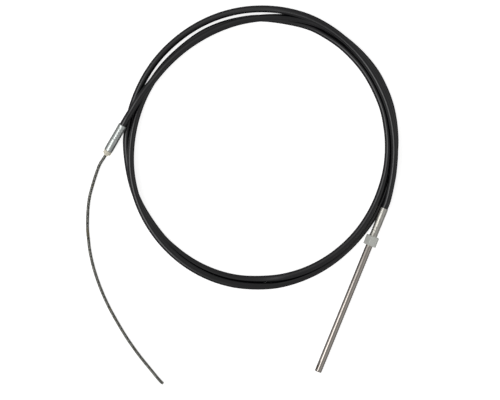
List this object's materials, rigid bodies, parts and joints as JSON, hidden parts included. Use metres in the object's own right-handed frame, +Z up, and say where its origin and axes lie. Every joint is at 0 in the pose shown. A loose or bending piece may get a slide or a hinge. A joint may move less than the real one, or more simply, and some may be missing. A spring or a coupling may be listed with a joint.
{
  "type": "boat steering cable",
  "caption": "Coiled push-pull steering cable with a bare drive core and crimped ferrule at one end and a coupling nut and steel ram at the other.",
  "frame": {"origin": "on the surface that the cable lies on, under the middle of its outline seen from above", "axes": "+Z up; seen from above with +X to the right, the helm end is at the left and the output end at the lower right, its ram pointing towards -Y"},
  "size_m": [0.7156, 0.868, 0.0449],
  "materials": {
    "jacket": "satin black extruded plastic",
    "ferrule": "bright plated, crimped",
    "nylon": "natural nylon, satin",
    "core": "helically wound wire, greased",
    "tube": "bright plated, crimped",
    "guide": "smooth drawn tube",
    "nut": "satin zinc plate",
    "ram": "polished stainless"
  },
  "bodies": {
    "cable": {"conduit_jacket": "jacket", "helm_ferrule": "ferrule", "helm_bushing": "nylon", "steering_core": "core", "support_tube": "tube", "guide_tube": "guide"},
    "nut": {"coupling_nut": "nut"},
    "ram": {"output_ram": "ram"}
  },
  "joints": [
    {"name": "ram_slide", "type": "slide", "parent": "cable", "child": "ram", "axis": [-0.376, -0.926, -0.0324], "range_m": [0, 0.229]},
    {"name": "nut_spin", "type": "hinge", "parent": "cable", "child": "nut", "pos_m": [0.29506, -0.1037, 0.01857], "axis": [-0.376, -0.926, -0.0324], "continuous": true}
  ]
}
